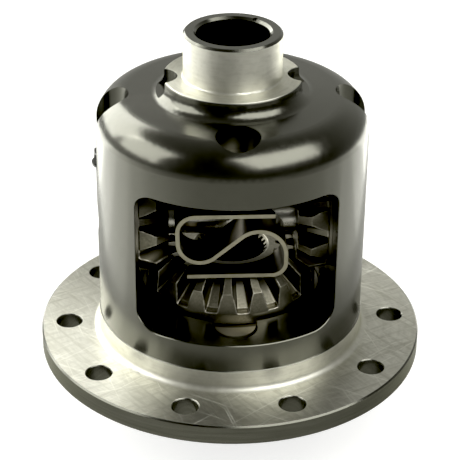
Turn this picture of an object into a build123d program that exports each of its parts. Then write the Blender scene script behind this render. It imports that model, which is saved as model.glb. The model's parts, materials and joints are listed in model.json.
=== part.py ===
from build123d import *
from math import acos, asin, atan2, cos, hypot, pi, radians, sin, tan
import os

os.makedirs("parts", exist_ok=True)

# A limited-slip differential for a ten-bolt rear axle.  Millimetres, +Z up along the axle
# shafts.  The origin is the centre of the face that the ring gear seats on.  The one-piece
# case holds two splined side gears, two pinions on a cross pin, an S-shaped preload spring
# between the side gears, and a pack of eared plates and splined discs behind each of them.

# ---- Driving dimensions: outside of the case ----------------------------------------------
flange_radius = 91.86
flange_thickness = 9.69
flange_edge_break = 0.7
bolt_count = 10
bolt_circle_radius = 78.6
bolt_hole_radius = 6.1
bolt_hole_edge_break = 0.45
register_radius = 63.5
register_height = 10.0
register_root_fillet = 3.0
barrel_radius = 63.15
dome_rim_height = 120.05
dome_corner_radius = 14.7
dome_slope = radians(3.5)
boss_radius = 31.98
boss_root_fillet = 5.5
boss_edge_break = 0.6
upper_shoulder_height = 129.62
lower_shoulder_depth = 24.2
journal_radius = 22.62
journal_length = 21.24
journal_edge_break = 1.0
journal_root_fillet = 0.9
axle_bore_radius = 16.75
axle_bore_edge_break = 1.17
oil_notch_radius = 1.1
oil_notch_angle = 52.6

# ---- Driving dimensions: window, recesses, pockets and notches of the case ------------------
gear_centre_height = 58.5
window_width = 91.0
window_bottom = 23.8
window_top = 93.1
window_bottom_corner = 10.0
window_top_corner = 8.0
window_edge_break = 0.35
pack_recess_radius = 42.9
pack_floor_distance = 51.3
hub_bore_distance = 61.0
ear_pocket_radius = 10.0
ear_pocket_offset = 47.0
scallop_radius = 10.2
scallop_offset = 57.5
scallop_floor = 86.0
puller_notch_radius = 8.5
puller_notch_offset = 33.5
puller_notch_floor = 122.2
running_gap = 0.05

# ---- Driving dimensions: bevel gears, measured from the point where their axes meet -----------
side_teeth = 17
pinion_teeth = 10
pressure_angle = radians(25)
heel_distance = 44.6
side_tooth_thickness = 4.8
flank_gap = 0.12
cutter_overshoot = radians(4)
cutter_far = 62.0
side_cutter_near = 14.0
step_cutter_near = 40.0
pinion_cutter_near = 24.0
side_root_cone = radians(52)
side_tip_cone = radians(61.6)
pinion_root_cone = radians(27.4)
pinion_tip_cone = radians(37.2)
side_toe_distance = 16.5
side_rim_radius = 40.6
side_rim_distance = 32.0
side_back_distance = 37.3
side_toe_radius = 29.9
side_tip_radius = 38.6
side_tip_distance = 22.4
side_root_fillet = 0.9
side_tip_relief = 0.9
side_step_cone = radians(48.5)
side_step_radius = 38.2
side_step_distance = 31.5
side_step_ledge = 0.4
side_rim_edge_break = 0.5
side_bore_edge_break = 0.9
side_bore_radius = 15.9
side_spline_radius = 17.1
side_spline_count = 30
side_spline_width = 1.65
spline_gap = 0.1
hub_spline_radius = 27.5
hub_spline_root = 26.0
hub_spline_count = 24
hub_spline_width = 3.4
hub_spline_end = 50.2
hub_journal_radius = 24.0
hub_journal_end = 60.4
pinion_toe_distance = 30.0
pinion_back_distance = 44.1
pinion_toe_radius = 22.6
pinion_tip_radius = 26.8
pinion_tip_distance = 35.8
pinion_heel_radius = 26.2
pinion_edge_break = 0.6
pinion_root_fillet = 0.4
pinion_tip_relief = 1.0

# ---- Driving dimensions: pin, lock bolt, washers, spring and clutch packs -----------------------
pin_radius = 9.5
pin_half_length = 62.5
pin_edge_break = 0.8
bolt_radius = 3.95
bolt_hole_gap = 0.05
bolt_tip_height = 35.0
bolt_hex_flats = 12.7
bolt_flange_radius = 7.6
bolt_flange_height = 0.9
bolt_head_height = 6.3
bolt_crown_height = 0.8
bolt_crown_inset = 0.1
bolt_edge_break = 0.6
washer_radius = 25.8
washer_thickness = 1.25
spring_thickness = 1.9
spring_front = -33.0
spring_back = -13.0
spring_relief_radius = 23.7
spring_toe_gap = 0.1
spring_upper_end = 18.2
spring_lower_end = -22.0
spring_left_bend = -26.5
spring_right_bend = 23.6
spring_web_low = (-25.8, 38.9)
spring_web_high = 80.2
spring_bend_radii = [7.8, 10.3, 12.5, 6.4]
spring_end_slant = 6.6
spring_end_square = 2.4
spring_end_slant_depth = 15.5
spring_cut_margin = 1
plate_thickness = 1.8
plate_gap = 0.05
plate_radius = 42.6
plate_bore_radius = 28.4
plate_ear_radius = 9.5
plate_ear_offset = 41.0
steel_plate_count = 4
disc_radius = 41.4
shim_thickness = 0.95

# ---- Sizes and places worked out from the driving dimensions --------------------------------------
upper_end = upper_shoulder_height + journal_length
lower_end = -lower_shoulder_depth - journal_length
dome_root_height = dome_rim_height + (barrel_radius - boss_radius) * tan(dome_slope)
window_height = window_top - window_bottom
window_middle = (window_top + window_bottom) / 2
side_pitch = atan2(side_teeth, pinion_teeth)
pinion_pitch = pi / 2 - side_pitch
circular_pitch = 2 * pi * heel_distance * sin(side_pitch) / side_teeth
pinion_tooth_thickness = circular_pitch - side_tooth_thickness

# Each gear has a frame: its origin where the axes meet, z towards the gear's back, and x
# through the middle of a tooth space.
middle = (0, 0, gear_centre_height)
side_frames = {
    "lower": Plane(middle, x_dir=(1, 0, 0), z_dir=(0, 0, -1)),
    "upper": Plane(middle, x_dir=(1, 0, 0), z_dir=(0, 0, 1)),
}
pinion_frames = {
    "left": Plane(middle, x_dir=(0, 0, 1), z_dir=(-1, 0, 0)),
    "right": Plane(middle, x_dir=(0, -1, 0), z_dir=(1, 0, 0)),
}


def save(name, piece):
    """Labels a finished piece and writes its file."""
    piece.part.label = name
    export_step(piece.part, f"parts/{name}.step")


def meridian(frame):
    """The plane through a frame's axis: radius across, distance along the axis up."""
    return Plane(frame.origin, x_dir=frame.x_dir, z_dir=-frame.y_dir)


def level(frame, distance):
    """The plane square to a frame's axis, at a distance from its origin."""
    return Plane(frame.origin + frame.z_dir * distance, x_dir=frame.x_dir, z_dir=frame.z_dir)


def axis_of(frame):
    """A frame's own axis."""
    return Axis(frame.origin, frame.z_dir)


def rings(piece, radius, height):
    """The piece's circular edges about Z with this radius at this height."""
    return piece.edges().filter_by(GeomType.CIRCLE).filter_by(
        lambda edge: abs(edge.radius - radius) < 0.01 and abs(edge.arc_center.Z - height) < 0.01
    )


def window_rims(piece):
    """The edges where the window breaks through the outside of the barrel."""

    def on_rim(place):
        off_barrel = abs(hypot(place.X, place.Y) - barrel_radius)
        off_window = abs(place.Z - window_middle) - window_height / 2
        return off_barrel < 0.01 and off_window < 0.01

    return piece.edges().filter_by(
        lambda edge: all(on_rim(edge @ share) for share in (0, 0.5, 1))
    )


def involute(polar, base):
    """How far round its axis a spherical involute has turned at a polar angle."""
    if polar <= base:
        return 0.0
    roll = acos(cos(polar) / cos(base))
    return roll / sin(base) - atan2(tan(roll), sin(base))


def space_point(polar, azimuth, pitch, distance):
    """Where a ray from the gear centre meets the plane square to the pitch cone."""
    along = sin(polar) * cos(azimuth) * sin(pitch) + cos(polar) * cos(pitch)
    across = sin(polar) * cos(azimuth) * cos(pitch) - cos(polar) * sin(pitch)
    scale = distance / along
    return (scale * sin(polar) * sin(azimuth), scale * across)


def tooth_space(teeth, pitch, thickness, root, tip, root_fillet, relief, near, far):
    """The gap between two teeth, running along its cone from near to far."""
    base = asin(sin(pitch) * cos(pressure_angle))
    half_tooth = (thickness / 2 - flank_gap) / (heel_distance * sin(pitch))

    def half_space(polar):
        return pi / teeth - half_tooth - involute(pitch, base) + involute(polar, base)

    relief_start = tip - relief / heel_distance
    relief_turn = relief / (heel_distance * sin(tip))
    above_tip = tip + cutter_overshoot
    with BuildPart() as space:
        for distance in (near, far):
            along = Vector(sin(pitch), 0, cos(pitch))
            with BuildSketch(Plane(along * distance, x_dir=(0, -1, 0), z_dir=along)) as cut:

                def point(polar, azimuth):
                    return space_point(polar, azimuth, pitch, distance)

                with BuildLine() as outline:
                    low = point(root, half_space(root))
                    waist = point((root + relief_start) / 2, half_space((root + relief_start) / 2))
                    high = point(relief_start, half_space(relief_start))
                    corner = point(above_tip, half_space(tip) + relief_turn)
                    Line((-low[0], low[1]), low)
                    ThreePointArc(low, waist, high)
                    Line(high, corner)
                    Line(corner, (-corner[0], corner[1]))
                    Line((-corner[0], corner[1]), (-high[0], high[1]))
                    ThreePointArc((-high[0], high[1]), (-waist[0], waist[1]), (-low[0], low[1]))
                make_face()
                fillet(cut.vertices().group_by(Axis.Y)[0], root_fillet * distance / heel_distance)
        loft(ruled=True)
    return space.part


def spline_outline(root_radius, tip_radius, count, width, gap=0.0):
    """A round outline with straight-sided spline teeth; gap grows it all round."""
    with BuildSketch() as outline:
        Circle(root_radius + gap)
        with PolarLocations(0, count):
            Polygon(
                (root_radius - 1, -0.75 * width - gap),
                (tip_radius + gap, -0.5 * width - gap),
                (tip_radius + gap, 0.5 * width + gap),
                (root_radius - 1, 0.75 * width + gap),
                align=None,
            )
    return outline.sketch


# ---- Differential case: one iron casting, turned, with a window milled through it -------------------
with BuildPart() as differential_case:
    with BuildSketch(Plane.XZ):
        with BuildLine():
            Polyline(
                (0, lower_end),
                (journal_radius, lower_end),
                (journal_radius, -lower_shoulder_depth),
                (boss_radius, -lower_shoulder_depth),
                (boss_radius, -flange_thickness),
                (flange_radius, -flange_thickness),
                (flange_radius, 0),
                (register_radius, 0),
                (register_radius, register_height),
                (barrel_radius, register_height + register_radius - barrel_radius),
                (barrel_radius, dome_rim_height),
                (boss_radius, dome_root_height),
                (boss_radius, upper_shoulder_height),
                (journal_radius, upper_shoulder_height),
                (journal_radius, upper_end),
                (0, upper_end),
                close=True,
            )
        make_face()
    revolve(axis=Axis.Z)
    fillet(rings(differential_case, barrel_radius, dome_rim_height), dome_corner_radius)
    fillet(rings(differential_case, boss_radius, dome_root_height), boss_root_fillet)
    fillet(rings(differential_case, boss_radius, -flange_thickness), boss_root_fillet)
    fillet(rings(differential_case, register_radius, 0), register_root_fillet)
    for shoulder, end in ((upper_shoulder_height, upper_end), (-lower_shoulder_depth, lower_end)):
        fillet(rings(differential_case, journal_radius, shoulder), journal_root_fillet)
        chamfer(rings(differential_case, journal_radius, end), journal_edge_break)
        chamfer(rings(differential_case, boss_radius, shoulder), boss_edge_break)
    for face_height in (0, -flange_thickness):
        chamfer(rings(differential_case, flange_radius, face_height), flange_edge_break)

    # The window, from front to back.
    with BuildSketch(Plane.XZ) as window:
        with Locations((0, window_middle)):
            Rectangle(window_width, window_height)
        fillet(window.vertices().group_by(Axis.Y)[-1], window_top_corner)
        fillet(window.vertices().group_by(Axis.Y)[0], window_bottom_corner)
    extrude(amount=flange_radius, both=True, mode=Mode.SUBTRACT)
    chamfer(window_rims(differential_case), window_edge_break)

    # A round recess for each clutch pack, with a pocket for the plate ears front and back, and
    # the bore that each side gear's hub turns in.
    mouth = gear_centre_height - window_bottom - window_bottom_corner
    for frame in side_frames.values():
        with BuildSketch(level(frame, mouth)):
            Circle(pack_recess_radius)
            Rectangle(2 * ear_pocket_radius, 2 * ear_pocket_offset)
            with Locations((0, ear_pocket_offset), (0, -ear_pocket_offset)):
                Circle(ear_pocket_radius)
        extrude(amount=pack_floor_distance - mouth, mode=Mode.SUBTRACT)
        with BuildSketch(level(frame, mouth)):
            Circle(hub_journal_radius + running_gap)
        extrude(amount=hub_bore_distance - mouth, mode=Mode.SUBTRACT)
    with BuildSketch(Plane.XY.offset(lower_end)):
        Circle(axle_bore_radius)
    extrude(amount=upper_end - lower_end, mode=Mode.SUBTRACT)
    for end in (upper_end, lower_end):
        chamfer(rings(differential_case, axle_bore_radius, end), axle_bore_edge_break)

    # Cut down from above: the ear pockets, the scallops beside the pin ends, and the notches
    # in the boss that a bearing puller's jaws reach into.
    for floor, offset, radius, turn in (
        (window_top - 1, ear_pocket_offset, ear_pocket_radius, 90),
        (scallop_floor, scallop_offset, scallop_radius, 0),
        (puller_notch_floor, puller_notch_offset, puller_notch_radius, 0),
    ):
        with BuildSketch(Plane.XY.offset(floor)):
            with PolarLocations(offset, 2, start_angle=turn):
                Circle(radius)
        extrude(amount=upper_shoulder_height + 1 - floor, mode=Mode.SUBTRACT)

    # The cross pin's bore and the lock bolt's hole through it.
    with BuildSketch(Plane.YZ.offset(-barrel_radius)):
        with Locations((0, gear_centre_height)):
            Circle(pin_radius + running_gap / 2)
    extrude(amount=2 * barrel_radius, mode=Mode.SUBTRACT)
    with BuildSketch(Plane.XY.offset(bolt_tip_height - 1)):
        with Locations((-scallop_offset, 0)):
            Circle(bolt_radius + bolt_hole_gap)
    extrude(amount=scallop_floor + 1 - bolt_tip_height, mode=Mode.SUBTRACT)

    # The ring gear bolt holes, broken at both edges, and the small oil notch in the journal.
    with Locations(Plane.XY):
        with PolarLocations(bolt_circle_radius, bolt_count):
            CounterSinkHole(
                bolt_hole_radius, bolt_hole_radius + bolt_hole_edge_break, 2 * flange_thickness, 90
            )
    with BuildSketch(Plane.XY.offset(upper_end - oil_notch_radius)):
        with PolarLocations(axle_bore_radius + axle_bore_edge_break, 1, start_angle=oil_notch_angle):
            Circle(oil_notch_radius)
    extrude(amount=2 * oil_notch_radius, mode=Mode.SUBTRACT)

save("differential_case", differential_case)

# ---- Side gears: bevel teeth in front, splined hub and journal behind ---------------------------------
side_space = tooth_space(
    side_teeth, side_pitch, side_tooth_thickness, side_root_cone, side_tip_cone,
    side_root_fillet, side_tip_relief, near=side_cutter_near, far=cutter_far,
)
step_space = tooth_space(
    side_teeth, side_pitch, side_tooth_thickness + 2 * side_step_ledge, side_step_cone,
    side_tip_cone, side_root_fillet / 4, side_tip_relief, near=step_cutter_near, far=cutter_far,
)
bore_splines = spline_outline(
    side_bore_radius, side_spline_radius, side_spline_count, side_spline_width
)
hub_splines = spline_outline(hub_spline_root, hub_spline_radius, hub_spline_count, hub_spline_width)
disc_splines = spline_outline(
    hub_spline_root, hub_spline_radius, hub_spline_count, hub_spline_width, spline_gap
)

# Between two teeth the ground root stops short of the heel, with a step down to the rim.
with BuildPart() as heel_step:
    add(step_space)
    with BuildSketch(Plane.XZ):
        with BuildLine():
            Polyline(
                (side_step_radius, 0),
                (2 * side_rim_radius, 0),
                (2 * side_rim_radius, side_step_distance),
                (side_step_radius, side_step_distance),
                close=True,
            )
        make_face()
    revolve(axis=Axis.Z, mode=Mode.INTERSECT)

for name, frame in side_frames.items():
    with BuildPart(frame) as side_gear:
        with BuildSketch(meridian(frame)):
            with BuildLine():
                Polyline(
                    (0, side_toe_distance + side_bore_edge_break + 1),
                    (side_spline_radius - 1, side_toe_distance + side_bore_edge_break + 1),
                    (side_spline_radius + side_bore_edge_break, side_toe_distance),
                    (side_toe_radius, side_toe_distance),
                    (side_tip_radius, side_tip_distance),
                    (side_rim_radius, side_rim_distance),
                    (side_rim_radius, side_back_distance - side_rim_edge_break),
                    (side_rim_radius - side_rim_edge_break, side_back_distance),
                    (hub_spline_radius, side_back_distance),
                    (hub_spline_radius, hub_spline_end),
                    (hub_journal_radius, hub_spline_end),
                    (hub_journal_radius, hub_journal_end - side_rim_edge_break),
                    (hub_journal_radius - side_rim_edge_break, hub_journal_end),
                    (0, hub_journal_end),
                    close=True,
                )
            make_face()
        revolve(axis=axis_of(frame))
        with PolarLocations(0, side_teeth):
            add(side_space, mode=Mode.SUBTRACT)
            add(heel_step.part, mode=Mode.SUBTRACT)
        with BuildSketch(level(frame, side_back_distance)):
            Circle(hub_spline_radius + 1)
            add(hub_splines, mode=Mode.SUBTRACT)
        extrude(amount=hub_spline_end - side_back_distance, mode=Mode.SUBTRACT)
        with BuildSketch(level(frame, side_toe_distance)):
            add(bore_splines)
        extrude(amount=hub_journal_end - side_toe_distance, mode=Mode.SUBTRACT)
    save(f"{name}_side_gear", side_gear)

# ---- Pinions: bevel gears that turn on the cross pin -----------------------------------------------------
pinion_space = tooth_space(
    pinion_teeth, pinion_pitch, pinion_tooth_thickness, pinion_root_cone, pinion_tip_cone,
    pinion_root_fillet, pinion_tip_relief, near=pinion_cutter_near, far=cutter_far,
)

for name, frame in pinion_frames.items():
    with BuildPart(frame) as pinion:
        with BuildSketch(meridian(frame)):
            with BuildLine():
                Polyline(
                    (pin_radius + running_gap, pinion_toe_distance + pinion_edge_break),
                    (pin_radius + running_gap + pinion_edge_break, pinion_toe_distance),
                    (pinion_toe_radius, pinion_toe_distance),
                    (pinion_tip_radius, pinion_tip_distance),
                    (pinion_heel_radius, pinion_back_distance - pinion_edge_break),
                    (pinion_heel_radius - pinion_edge_break, pinion_back_distance),
                    (pin_radius + running_gap + pinion_edge_break, pinion_back_distance),
                    (pin_radius + running_gap, pinion_back_distance - pinion_edge_break),
                    close=True,
                )
            make_face()
        revolve(axis=axis_of(frame))
        with PolarLocations(0, pinion_teeth):
            add(pinion_space, mode=Mode.SUBTRACT)
    save(f"{name}_pinion_gear", pinion)

    with BuildPart() as washer:
        with BuildSketch(level(frame, pinion_back_distance + running_gap)):
            Circle(washer_radius)
            Circle(pin_radius + running_gap, mode=Mode.SUBTRACT)
        extrude(amount=washer_thickness)
    save(f"{name}_pinion_washer", washer)

# ---- Cross pin and the bolt that locks it ----------------------------------------------------------------
with BuildPart() as cross_pin:
    with BuildSketch(Plane.YZ.offset(-pin_half_length)):
        with Locations((0, gear_centre_height)):
            Circle(pin_radius)
    extrude(amount=2 * pin_half_length)
    chamfer(cross_pin.edges().filter_by(GeomType.CIRCLE), pin_edge_break)
    with BuildSketch(Plane.XY.offset(gear_centre_height - 2 * pin_radius)):
        with Locations((-scallop_offset, 0)):
            Circle(bolt_radius + bolt_hole_gap)
    extrude(amount=4 * pin_radius, mode=Mode.SUBTRACT)
save("cross_pin", cross_pin)

with BuildPart() as lock_bolt:
    with BuildSketch(Plane.XY.offset(bolt_tip_height)):
        with Locations((-scallop_offset, 0)):
            Circle(bolt_radius)
    extrude(amount=scallop_floor - bolt_tip_height)
    chamfer(lock_bolt.edges().group_by(Axis.Z)[0], bolt_edge_break)
    with BuildSketch(Plane.XY.offset(scallop_floor)):
        with Locations((-scallop_offset, 0)):
            Circle(bolt_flange_radius)
    extrude(amount=bolt_flange_height)
    with BuildSketch(Plane.XY.offset(scallop_floor)):
        with Locations((-scallop_offset, 0)):
            RegularPolygon(bolt_hex_flats / 2, 6, major_radius=False, rotation=30)
    extrude(amount=bolt_head_height)
    with BuildSketch(Plane((-scallop_offset, 0, 0), x_dir=(1, 0, 0), z_dir=(0, -1, 0))):
        with BuildLine():
            Polyline(
                (0, bolt_tip_height),
                (bolt_flange_radius, bolt_tip_height),
                (bolt_flange_radius, scallop_floor + bolt_head_height - bolt_crown_height),
                (bolt_hex_flats / 2 - bolt_crown_inset, scallop_floor + bolt_head_height),
                (0, scallop_floor + bolt_head_height),
                close=True,
            )
        make_face()
    revolve(axis=Axis((-scallop_offset, 0, 0), (0, 0, 1)), mode=Mode.INTERSECT)
save("lock_bolt", lock_bolt)

# ---- Preload spring: a strip bent into an S, relieved round the axle bores ----------
low_run = gear_centre_height - side_toe_distance + spring_toe_gap + spring_thickness / 2
high_run = gear_centre_height + side_toe_distance - spring_toe_gap - spring_thickness / 2
with BuildPart() as preload_spring:
    with BuildSketch(Plane.XZ.offset(-spring_front)):
        with BuildLine() as bend:
            FilletPolyline(
                (spring_upper_end, high_run),
                (spring_left_bend, high_run),
                spring_web_low,
                (spring_right_bend, spring_web_high),
                (spring_right_bend, low_run),
                (spring_lower_end, low_run),
                radius=spring_bend_radii,
            )
        trace(bend.wire(), line_width=spring_thickness)
    extrude(amount=spring_front - spring_back)
    for run, end, side in ((high_run, spring_upper_end, 1), (low_run, spring_lower_end, -1)):
        with BuildSketch(Plane.XY.offset(run - spring_thickness)):
            Circle(spring_relief_radius)
            with BuildLine():
                Polyline(
                    (end, spring_front + spring_end_square),
                    (end - spring_end_slant * side, spring_front + spring_end_slant_depth),
                    (end - spring_end_slant * side, spring_back + spring_cut_margin),
                    (end + spring_cut_margin * side, spring_back + spring_cut_margin),
                    (end + spring_cut_margin * side, spring_front + spring_end_square),
                    close=True,
                )
            make_face()
        extrude(amount=2 * spring_thickness, mode=Mode.SUBTRACT)
save("preload_s_spring", preload_spring)

# ---- Clutch packs: eared steel plates between splined discs, with a shim behind ----
for side, frame in side_frames.items():
    face = side_back_distance + plate_gap
    for number in range(1, steel_plate_count + 1):
        with BuildPart() as steel_plate:
            with BuildSketch(level(frame, face)):
                Circle(plate_radius)
                Rectangle(2 * plate_ear_radius, 2 * plate_ear_offset)
                with Locations((0, plate_ear_offset), (0, -plate_ear_offset)):
                    Circle(plate_ear_radius)
                Circle(plate_bore_radius, mode=Mode.SUBTRACT)
            extrude(amount=plate_thickness)
        save(f"{side}_steel_plate_{number}", steel_plate)
        face += plate_thickness + plate_gap
        if number < steel_plate_count:
            with BuildPart() as friction_disc:
                with BuildSketch(level(frame, face)):
                    Circle(disc_radius)
                    add(disc_splines, mode=Mode.SUBTRACT)
                extrude(amount=plate_thickness)
            save(f"{side}_friction_disc_{number}", friction_disc)
            face += plate_thickness + plate_gap
    with BuildPart() as shim:
        with BuildSketch(level(frame, face)):
            Circle(plate_radius)
            Circle(plate_bore_radius, mode=Mode.SUBTRACT)
        extrude(amount=shim_thickness)
    save(f"{side}_shim", shim)
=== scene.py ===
import json
import math

import bpy
from mathutils import Matrix, Vector


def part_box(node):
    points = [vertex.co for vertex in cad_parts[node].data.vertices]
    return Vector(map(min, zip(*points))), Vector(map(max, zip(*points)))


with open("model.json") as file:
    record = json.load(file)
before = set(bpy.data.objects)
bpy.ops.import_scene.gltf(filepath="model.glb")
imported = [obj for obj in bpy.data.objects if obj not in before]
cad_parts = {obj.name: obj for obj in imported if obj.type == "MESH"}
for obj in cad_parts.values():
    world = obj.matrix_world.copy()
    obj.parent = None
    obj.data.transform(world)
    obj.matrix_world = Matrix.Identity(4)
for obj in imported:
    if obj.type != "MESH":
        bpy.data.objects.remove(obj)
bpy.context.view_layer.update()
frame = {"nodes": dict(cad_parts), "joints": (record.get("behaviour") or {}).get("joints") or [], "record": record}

MM = 0.001
mounts = {m["name"]: m for m in frame["record"]["mounts"]}

# Places on the case, from the frame
seat_height = mounts["ring_gear_seat"]["pos_m"][2]
journal_radius = mounts["upper_bearing_journal"]["dims"]["r_mm"] * MM
journal_length = mounts["upper_bearing_journal"]["dims"]["length_mm"] * MM
upper_journal_height = mounts["upper_bearing_journal"]["pos_m"][2]
lower_journal_height = mounts["lower_bearing_journal"]["pos_m"][2]
bolt_circle_radius = mounts["ring_gear_bolts"]["dims"]["pcd_mm"] / 2 * MM
bolt_hole_radius = mounts["ring_gear_bolts"]["dims"]["hole_r_mm"] * MM
bolt_count = mounts["ring_gear_bolts"]["dims"]["count"]
case_low, case_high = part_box("differential_case")
flange_radius = case_high.x

# Edges that no mount states
register_radius = 63.5 * MM
register_top = 10 * MM
plate_ear_root = 43 * MM
axle_spline_reach = 17.8 * MM
pinion_axis_height = next(j["pos_m"][2] for j in frame["joints"] if j["name"] == "left_pinion_spin")


# ---------------------------------------------------------------- camera, floor and lights

CAMERA_TARGET = (0, 0, 0.04895)
CAMERA_AZIMUTH, CAMERA_ELEVATION, CAMERA_ROLL = -3.353, 29.02, 0.607
CAMERA_DISTANCE = 0.7905
CAMERA_LENS = 129.66
CAMERA_SHIFT = -0.0022
LIGHT_TINT = (1.0, 1.0, 0.94)
LAMP_DISTANCE = 1.1
CARD_DEPTH, CARD_FRONT = 0.40, 0.20
STRIP_DEPTH = 0.10
FLOOR_RADIUS, FLOOR_SIDES = 0.62, 96



def direction(azimuth, elevation):
    """Unit vector towards a place seen from the object. Azimuth 0 is -Y and 90 is +X, in degrees."""
    a, e = math.radians(azimuth), math.radians(elevation)
    return Vector((math.sin(a) * math.cos(e), -math.cos(a) * math.cos(e), math.sin(e)))


def facing(back, roll=0.0):
    """Turns a camera or lamp so that it looks along -back, rolled about that line, in degrees."""
    right = Vector((0, 0, 1)).cross(back).normalized()
    up = back.cross(right)
    r = math.radians(roll)
    tilted = right * math.cos(r) + up * math.sin(r)
    return Matrix((tilted, back.cross(tilted), back)).transposed()


def make_camera():
    back = direction(CAMERA_AZIMUTH, CAMERA_ELEVATION)
    place = Vector(CAMERA_TARGET) + back * CAMERA_DISTANCE
    data = bpy.data.cameras.new("camera")
    data.sensor_width = 36
    data.lens = CAMERA_LENS
    data.shift_x = CAMERA_SHIFT
    camera = bpy.data.objects.new("camera", data)
    camera.matrix_world = Matrix.Translation(place) @ facing(back, CAMERA_ROLL).to_4x4()
    bpy.context.scene.collection.objects.link(camera)
    bpy.context.scene.camera = camera


def make_lamp(name, place, width, height, brightness):
    """A plain rectangle of light that the camera doesn't see."""
    data = bpy.data.lights.new(name, "AREA")
    data.shape = "RECTANGLE"
    data.size, data.size_y = width, height
    data.energy = 4 * width * height * brightness
    data.color = LIGHT_TINT
    lamp = bpy.data.objects.new(name, data)
    lamp.matrix_world = place
    lamp.visible_camera = False
    bpy.context.scene.collection.objects.link(lamp)


def make_softbox(name, azimuth, elevation, width, height, brightness):
    back = direction(azimuth, elevation)
    place = Matrix.Translation(back * LAMP_DISTANCE) @ facing(back).to_4x4()
    make_lamp(name, place, width, height, brightness)


def make_bounce(name, x, y, width, depth, brightness):
    """A white card lying on the floor, which throws light up on to the barrel."""
    place = Matrix.Translation((x, y, case_low.z + MM)) @ Matrix.Rotation(math.pi, 4, "X")
    make_lamp(name, place, width, depth, brightness)


def make_fading_cards(name, x, width, levels):
    """One deep card behind and strips in front of it, dimmer towards the front."""
    depth, front = CARD_DEPTH, CARD_FRONT
    for i, level in enumerate(levels):
        make_bounce(f"{name}_{i + 1}", x, front + depth / 2, width, depth, level)
        depth = STRIP_DEPTH
        front -= depth


def make_world():
    """A dim studio, brightest at the left rear, with a white backdrop."""
    world = bpy.data.worlds.new("studio")
    bpy.context.scene.world = world
    world.use_nodes = True
    tree = world.node_tree
    add, link = tree.nodes.new, tree.links.new
    way = add("ShaderNodeTexCoord")
    axes = add("ShaderNodeSeparateXYZ")
    link(way.outputs["Generated"], axes.inputs[0])
    left_rear = add("ShaderNodeMath")
    left_rear.operation = "MULTIPLY_ADD"
    link(axes.outputs["X"], left_rear.inputs[0])
    left_rear.inputs[1].default_value = -0.35
    link(axes.outputs["Y"], left_rear.inputs[2])
    rearward = add("ShaderNodeMapRange")
    link(left_rear.outputs[0], rearward.inputs["Value"])
    for key, value in (("From Min", -0.5), ("From Max", 0.7), ("To Min", 0.05), ("To Max", 0.6)):
        rearward.inputs[key].default_value = value
    overhead = add("ShaderNodeMapRange")
    link(axes.outputs["Z"], overhead.inputs["Value"])
    for key, value in (("From Min", 0.4), ("From Max", 0.85), ("To Min", 1.0), ("To Max", 0.45)):
        overhead.inputs[key].default_value = value
    level = add("ShaderNodeMath")
    level.operation = "MULTIPLY"
    link(rearward.outputs[0], level.inputs[0])
    link(overhead.outputs[0], level.inputs[1])
    rays = add("ShaderNodeLightPath")
    shown = add("ShaderNodeMix")
    link(rays.outputs["Is Camera Ray"], shown.inputs[0])
    link(level.outputs[0], shown.inputs[2])
    shown.inputs[3].default_value = 1.0
    link(shown.outputs[0], tree.nodes["Background"].inputs["Strength"])
    shade = add("ShaderNodeMix")
    shade.data_type = "RGBA"
    shade.inputs[6].default_value = (*LIGHT_TINT, 1)
    shade.inputs[7].default_value = (1, 1, 1, 1)
    link(rays.outputs["Is Camera Ray"], shade.inputs[0])
    link(shade.outputs[2], tree.nodes["Background"].inputs["Color"])


def make_floor():
    turns = [2 * math.pi * i / FLOOR_SIDES for i in range(FLOOR_SIDES)]
    points = [(FLOOR_RADIUS * math.cos(t), FLOOR_RADIUS * math.sin(t), case_low.z) for t in turns]
    mesh = bpy.data.meshes.new("floor")
    mesh.from_pydata(points, [], [tuple(range(FLOOR_SIDES))])
    floor = bpy.data.objects.new("floor", mesh)
    bpy.context.scene.collection.objects.link(floor)
    paper = bpy.data.materials.new("paper")
    paper.use_nodes = True
    tree = paper.node_tree
    shader = tree.nodes["Principled BSDF"]
    shader.inputs["Base Color"].default_value = (0.45, 0.45, 0.44, 1)
    shader.inputs["Roughness"].default_value = 0.9
    shader.inputs["Emission Color"].default_value = (1, 1, 1, 1)
    rays = tree.nodes.new("ShaderNodeLightPath")
    glow = tree.nodes.new("ShaderNodeMath")
    glow.operation = "MULTIPLY"
    glow.inputs[1].default_value = 0.75
    tree.links.new(rays.outputs["Is Camera Ray"], glow.inputs[0])
    tree.links.new(glow.outputs[0], shader.inputs["Emission Strength"])
    mesh.materials.append(paper)


def set_view():
    """Plain display with slightly crushed shadows, a little more in blue."""
    view = bpy.context.scene.view_settings
    view.view_transform = "Standard"
    view.use_curve_mapping = True
    view.curve_mapping.black_level = (0.010, 0.010, 0.0125)
    view.curve_mapping.update()


# ---------------------------------------------------------------- material helpers

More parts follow.
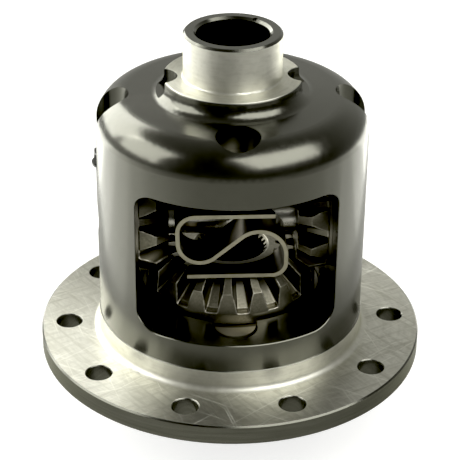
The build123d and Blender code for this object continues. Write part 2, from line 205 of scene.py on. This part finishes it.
class Finish:
    """One procedural material: adds shader nodes and links them."""

    def __init__(self, name):
        self.material = bpy.data.materials.new(name)
        self.material.use_nodes = True
        self.tree = self.material.node_tree
        self.shader = self.tree.nodes["Principled BSDF"]
        self.coords = self.tree.nodes.new("ShaderNodeTexCoord")
        axes = self.add("SeparateXYZ", {0: self.coords.outputs["Object"]})
        self.x, self.y, self.z = axes.outputs
        self.radius = self.length(self.x, self.y)

    def add(self, kind, inputs=None, **settings):
        node = self.tree.nodes.new("ShaderNode" + kind)
        for key, value in settings.items():
            setattr(node, key, value)
        for key, value in (inputs or {}).items():
            self.feed(node.inputs[key], value)
        return node

    def feed(self, socket, value):
        if isinstance(value, bpy.types.NodeSocket):
            self.tree.links.new(value, socket)
        else:
            socket.default_value = value

    def set(self, **inputs):
        for key, value in inputs.items():
            self.feed(self.shader.inputs[key.replace("_", " ")], value)

    def math(self, operation, a, b=0.0, clamp=False):
        return self.add("Math", {0: a, 1: b}, operation=operation, use_clamp=clamp).outputs[0]

    def vector(self, x, y, z):
        return self.add("CombineXYZ", {0: x, 1: y, 2: z}).outputs[0]

    def length(self, a, b):
        """Length of the flat vector (a, b)."""
        return self.add("VectorMath", {0: self.vector(a, b, 0.0)}, operation="LENGTH").outputs["Value"]

    def above(self, value, edge, blur=0.15 * MM):
        """1 where value is past edge and 0 before it, with a soft step."""
        return self.add("MapRange", {"Value": value, "From Min": edge - blur, "From Max": edge + blur},
                        interpolation_type="SMOOTHSTEP").outputs[0]

    def between(self, value, low, high, blur=0.15 * MM):
        return self.math("SUBTRACT", self.above(value, low, blur), self.above(value, high, blur), True)

    def all_of(self, *masks):
        result = masks[0]
        for mask in masks[1:]:
            result = self.math("MULTIPLY", result, mask)
        return result

    def any_of(self, *masks):
        result = masks[0]
        for mask in masks[1:]:
            result = self.math("MAXIMUM", result, mask)
        return result

    def ring_hole_distance(self, ring_radius, count):
        """Distance from the nearest axis of a ring of holes about Z."""
        pitch = 2 * math.pi / count
        angle = self.math("ARCTAN2", self.y, self.x)
        nearest = self.math("MULTIPLY", self.math("ROUND", self.math("DIVIDE", angle, pitch)), pitch)
        turn = self.math("SUBTRACT", angle, nearest)
        across = self.math("MULTIPLY", self.radius, self.math("SINE", turn))
        outward = self.math("MULTIPLY", self.radius, self.math("COSINE", turn))
        return self.length(self.math("SUBTRACT", outward, ring_radius), across)

    def mix(self, factor, a, b):
        """Number a where factor is 0, b where it is 1."""
        node = self.add("Mix", {0: factor, 2: a, 3: b})
        return node.outputs[0]

    def tint(self, factor, a, b):
        """Colour a where factor is 0, b where it is 1."""
        node = self.add("Mix", {0: factor}, data_type="RGBA")
        self.feed(node.inputs[6], (*a, 1) if isinstance(a, tuple) else a)
        self.feed(node.inputs[7], (*b, 1) if isinstance(b, tuple) else b)
        return node.outputs[2]

    def noise(self, scale, detail=3.0, stretch=(1, 1, 1), where=None, roughness=0.55, low=0.0, high=1.0):
        """Noise of the given scale per metre, remapped so that low to high becomes 0 to 1."""
        place = self.add("VectorMath", {0: where or self.coords.outputs["Object"], 1: stretch},
                         operation="MULTIPLY").outputs[0]
        made = self.add("TexNoise", {"Vector": place, "Scale": scale, "Detail": detail,
                                     "Roughness": roughness}).outputs["Fac"]
        if (low, high) == (0.0, 1.0):
            return made
        return self.add("MapRange", {"Value": made, "From Min": low, "From Max": high}).outputs[0]

    def bump(self, height, depth, under=None):
        node = self.add("Bump", {"Height": height, "Distance": depth, "Strength": 1.0})
        if under is not None:
            self.feed(node.inputs["Normal"], under)
        return node.outputs[0]

    def wear_and_glint_edges(self, width, strength=2.2):
        """1 along outer edges, which are painted bright partly as real wear and partly as a painted highlight of
        edge glints, and 0 on flat and hollow places.
        """
        inside = self.add("AmbientOcclusion", {"Distance": width}, inside=True, only_local=True, samples=12)
        return self.math("MULTIPLY", self.math("SUBTRACT", 1.0, inside.outputs["AO"]), strength, True)

    def scratches(self, angle, scale, rarity, length=0.02, spread=0.12, detail=2.0):
        """Straight scratches that run along one direction of the XY plane, 0 to 1."""
        a = math.radians(angle)
        across = self.math("ADD", self.math("MULTIPLY", self.x, math.cos(a)),
                           self.math("MULTIPLY", self.y, math.sin(a)))
        along = self.math("ADD", self.math("MULTIPLY", self.x, -math.sin(a)),
                          self.math("MULTIPLY", self.y, math.cos(a)))
        place = self.vector(across, self.math("MULTIPLY", along, length), 0.0)
        lines = self.add("TexNoise", {"Vector": place, "Scale": scale, "Detail": detail}).outputs["Fac"]
        return self.add("MapRange", {"Value": lines, "From Min": rarity,
                                     "From Max": rarity + spread}).outputs[0]

    def give(self, *nodes):
        for name in nodes:
            slots = frame["nodes"][name].data.materials
            slots.clear()
            slots.append(self.material)


# ---------------------------------------------------------------- materials

BLACK_OXIDE = (0.0025, 0.0025, 0.002)


def case_finish():
    """Black oxide, machined bright on the ring gear seat, its register and the bearing journals."""
    f = Finish("case_iron")
    z, r = f.z, f.radius
    upper_end = upper_journal_height + journal_length / 2
    lower_end = lower_journal_height - journal_length / 2

    # Bare and dark regions, from 0 to 1
    hole = f.math("SUBTRACT", 1.0, f.above(f.ring_hole_distance(bolt_circle_radius, bolt_count),
                                           bolt_hole_radius + 0.35 * MM, 0.1 * MM))
    rim = f.above(r, flange_radius - 0.75 * MM, 0.12 * MM)
    seat = f.all_of(f.above(r, register_radius - 0.2 * MM, 0.1 * MM),
                    f.between(z, seat_height - 0.35 * MM, register_top, 0.12 * MM))
    seat = f.math("SUBTRACT", seat, f.any_of(rim, hole), True)
    flat = f.all_of(seat, f.above(r, register_radius + 2.5 * MM, 0.8 * MM))
    collar = f.between(r, journal_radius - 0.6 * MM, journal_radius + 9 * MM)
    upper = f.all_of(collar, f.between(z, upper_end - journal_length - 1.2 * MM, upper_end - 0.05 * MM))
    lower = f.all_of(collar, f.between(z, lower_end + 0.05 * MM, lower_end + journal_length + 1.9 * MM))
    bare = f.any_of(seat, upper, lower)
    # Darker steel on the flange's outer face, and painted shade on the bolt hole walls, drawn darker than bare
    # steel
    dark_rim_and_shaded_holes = f.any_of(f.all_of(rim, f.between(z, -10 * MM, seat_height - 0.75 * MM)),
                          f.all_of(hole, f.between(z, -9 * MM, seat_height - 0.9 * MM)))

    # Turning lines, grinding scratches, stains and the grain under the oxide
    angle = f.math("ARCTAN2", f.y, f.x)
    around = f.vector(f.math("ADD", r, z), f.math("MULTIPLY", angle, 0.004), 0.0)
    turned = f.noise(2200, 3, where=around)
    streaks = f.noise(700, 4, where=around, low=0.3, high=0.7)
    grain = f.noise(1500, 4)
    blotch = f.noise(55, 5, low=0.3, high=0.7)
    smear = f.noise(260, 4, low=0.35, high=0.65)
    criss = f.any_of(f.scratches(58, 700, 0.60), f.scratches(-50, 800, 0.61), f.scratches(15, 900, 0.62),
                     f.scratches(-75, 1000, 0.62))
    criss = f.all_of(criss, flat)
    hatch = f.any_of(f.scratches(35, 420, 0.46, 0.06, 0.25, 5), f.scratches(-62, 380, 0.48, 0.07, 0.25, 5))
    hatch = f.all_of(hatch, flat)

    steel = f.tint(f.all_of(streaks, smear), (0.64, 0.635, 0.585), (0.50, 0.495, 0.45))
    steel = f.tint(f.math("MULTIPLY", blotch, 0.22), steel, (0.38, 0.372, 0.32))
    steel = f.tint(f.math("MULTIPLY", hatch, 0.55), steel, (0.30, 0.294, 0.25))
    steel = f.tint(f.math("MULTIPLY", criss, 0.55), steel, (0.86, 0.855, 0.80))
    colour = f.tint(bare, BLACK_OXIDE, steel)
    # Rim face darker; bolt hole walls painted darker as shade
    colour = f.tint(dark_rim_and_shaded_holes, colour, f.tint(streaks, (0.10, 0.10, 0.085), (0.15, 0.15, 0.13)))

    oxide_roughness = f.mix(f.math("MULTIPLY", blotch, smear), 0.20, 0.27)
    steel_roughness = f.math("ADD", f.mix(flat, f.mix(streaks, 0.42, 0.50), f.mix(hatch, 0.36, 0.46)),
                              f.math("MULTIPLY", criss, 0.14))
    normal = f.bump(grain, f.mix(bare, 0.005 * MM, 0.002 * MM))
    normal = f.bump(turned, f.mix(bare, 0.001 * MM, 0.004 * MM), normal)
    normal = f.bump(criss, 0.003 * MM, normal)
    f.set(Base_Color=colour, Metallic=f.any_of(bare, f.math("MULTIPLY", dark_rim_and_shaded_holes, 0.9)),
          Roughness=f.mix(bare, oxide_roughness, steel_roughness), IOR=2.0, Normal=normal,
          Specular_Tint=(1, 1, 0.88, 1), Anisotropic=0.5, Anisotropic_Rotation=0.25,
          Tangent=f.add("Tangent", direction_type="RADIAL", axis="Z").outputs[0])
    f.give("differential_case")


def gear_finish(name, nodes, across, up, centre):
    """Forged and cut steel: flanks painted darker as shade where they face sideways, lighter lands, and outer
    edges painted bright, partly as wear and partly as a painted highlight. Across, up and centre give the
    plane that the gear turns in."""
    f = Finish(name)
    place = {"x": f.x, "y": f.y, "z": f.z}
    a = place[across]
    b = f.math("SUBTRACT", place[up], centre)
    normal = f.add("SeparateXYZ", {0: f.coords.outputs["Normal"]})
    turning = f.math("SUBTRACT", f.math("MULTIPLY", a, normal.outputs[up.upper()]),
                     f.math("MULTIPLY", b, normal.outputs[across.upper()]))
    distance = f.length(a, b)
    # Flanks that face sideways are painted darker as shade, so the outward-facing lands stay lighter
    shaded_flank = f.above(f.math("DIVIDE", f.math("ABSOLUTE", turning), distance), 0.35, 0.15)
    blotch = f.noise(120, 4, low=0.3, high=0.7)
    mottle = f.noise(900, 3, low=0.35, high=0.65)
    grain = f.noise(1500, 4)
    spline = f.math("SUBTRACT", 1.0, f.above(distance, axle_spline_reach, 0.2 * MM))
    # Outer edges painted near white: partly real wear, partly a painted highlight of glints, broken into spots
    edge_spots = f.noise(420, 4, low=0.42, high=0.60)
    edges = f.all_of(f.wear_and_glint_edges(0.7 * MM, 2.6), f.mix(edge_spots, 0.25, 1.0), f.math("SUBTRACT", 1.0, spline))
    colour = f.tint(f.math("MULTIPLY", blotch, mottle), (0.30, 0.287, 0.235), (0.18, 0.17, 0.135))
    # Painted shade on the sideways flanks
    colour = f.tint(shaded_flank, colour, (0.07, 0.065, 0.05))
    colour = f.tint(spline, colour, (0.11, 0.105, 0.085))
    # Painted bright edges: wear and a painted glint highlight
    colour = f.tint(edges, colour, (0.95, 0.92, 0.82))
    rounded = f.add("Bevel", {"Radius": 0.45 * MM}, samples=4).outputs[0]
    f.set(Base_Color=colour, Metallic=1.0, Roughness=f.mix(blotch, 0.32, 0.42),
          Normal=f.bump(grain, 0.006 * MM, rounded))
    f.give(*nodes)


def pin_finish():
    f = Finish("ground_steel")
    lines = f.noise(9000, 2, where=f.vector(f.x, 0.0, 0.0))
    blotch = f.noise(80, 3, low=0.3, high=0.7)
    f.set(Base_Color=f.tint(blotch, (0.50, 0.49, 0.45), (0.62, 0.61, 0.57)), Metallic=1.0,
          Roughness=f.mix(blotch, 0.22, 0.30), Normal=f.bump(lines, 0.0015 * MM))
    f.give("cross_pin")


def bolt_finish():
    f = Finish("black_bolt")
    grain = f.noise(1800, 3)
    blotch = f.noise(90, 3, low=0.3, high=0.7)
    f.set(Base_Color=f.tint(blotch, (0.010, 0.010, 0.010), (0.02, 0.02, 0.019)), Metallic=0.0,
          Roughness=f.mix(blotch, 0.28, 0.38), IOR=1.6, Normal=f.bump(grain, 0.004 * MM))
    f.give("lock_bolt")


def spring_finish():
    """Dark rolled faces and bare sheared edges."""
    f = Finish("spring_steel")
    facing_y = f.add("SeparateXYZ", {0: f.coords.outputs["Normal"]}).outputs["Y"]
    edge = f.above(f.math("ABSOLUTE", facing_y), 0.7, 0.1)
    blotch = f.noise(150, 4, low=0.3, high=0.7)
    shear = f.noise(2500, 3, stretch=(1, 0.1, 1))
    face = f.tint(blotch, (0.045, 0.038, 0.027), (0.075, 0.065, 0.045))
    bare = f.tint(blotch, (0.42, 0.40, 0.31), (0.54, 0.515, 0.41))
    f.set(Base_Color=f.tint(edge, face, bare), Metallic=1.0,
          Roughness=f.mix(edge, 0.32, 0.48), Normal=f.bump(shear, 0.006 * MM))
    f.give("preload_s_spring")


def plate_finish():
    f = Finish("plate_steel")
    blotch = f.noise(90, 4, low=0.3, high=0.7)
    grain = f.noise(2200, 3)
    # Inside the ear root the plate is painted dark as the shadow under the side gear's rim; the ear keeps the
    # plain steel colour
    ear = f.above(f.radius, plate_ear_root, 0.3 * MM)
    ear_steel = f.tint(blotch, (0.36, 0.34, 0.28), (0.48, 0.46, 0.39))
    f.set(Base_Color=f.tint(ear, (0.07, 0.064, 0.05), ear_steel), Metallic=1.0,
          Roughness=f.mix(blotch, 0.36, 0.46), Normal=f.bump(grain, 0.005 * MM))
    f.give(*[n for n in frame["nodes"] if "steel_plate" in n])


def washer_finish():
    f = Finish("washer_steel")
    blotch = f.noise(110, 4, low=0.3, high=0.7)
    grain = f.noise(2400, 3)
    f.set(Base_Color=f.tint(blotch, (0.34, 0.325, 0.275), (0.44, 0.42, 0.365)), Metallic=1.0,
          Roughness=f.mix(blotch, 0.34, 0.44), Normal=f.bump(grain, 0.004 * MM))
    f.give("left_pinion_washer", "right_pinion_washer", "lower_shim", "upper_shim")


def disc_finish():
    f = Finish("friction_disc")
    blotch = f.noise(100, 4, low=0.3, high=0.7)
    grain = f.noise(3000, 4)
    f.set(Base_Color=f.tint(blotch, (0.055, 0.048, 0.036), (0.09, 0.08, 0.06)), Metallic=0.4,
          Roughness=f.mix(blotch, 0.55, 0.7), Normal=f.bump(grain, 0.012 * MM))
    f.give(*[n for n in frame["nodes"] if "friction_disc" in n])


make_camera()
make_world()
make_floor()
make_softbox("left_rear_softbox", -135, 30, 0.95, 0.82, 3.9)
make_softbox("left_softbox", -84, 31, 0.80, 0.82, 3.1)
make_softbox("right_softbox", 45, 47, 1.10, 0.80, 3.3)
make_fading_cards("left_card", -0.42, 0.50, (2.8, 1.4, 0.95, 0.55, 0.3, 0.12))
make_fading_cards("right_card", 0.44, 0.50, (2.4, 1.1, 0.6, 0.3, 0.12, 0.05))
case_finish()
gear_finish("side_gear_steel", ("lower_side_gear", "upper_side_gear"), "x", "y", 0.0)
gear_finish("pinion_steel", ("left_pinion_gear", "right_pinion_gear"), "y", "z", pinion_axis_height)
pin_finish()
bolt_finish()
spring_finish()
plate_finish()
washer_finish()
disc_finish()
set_view()
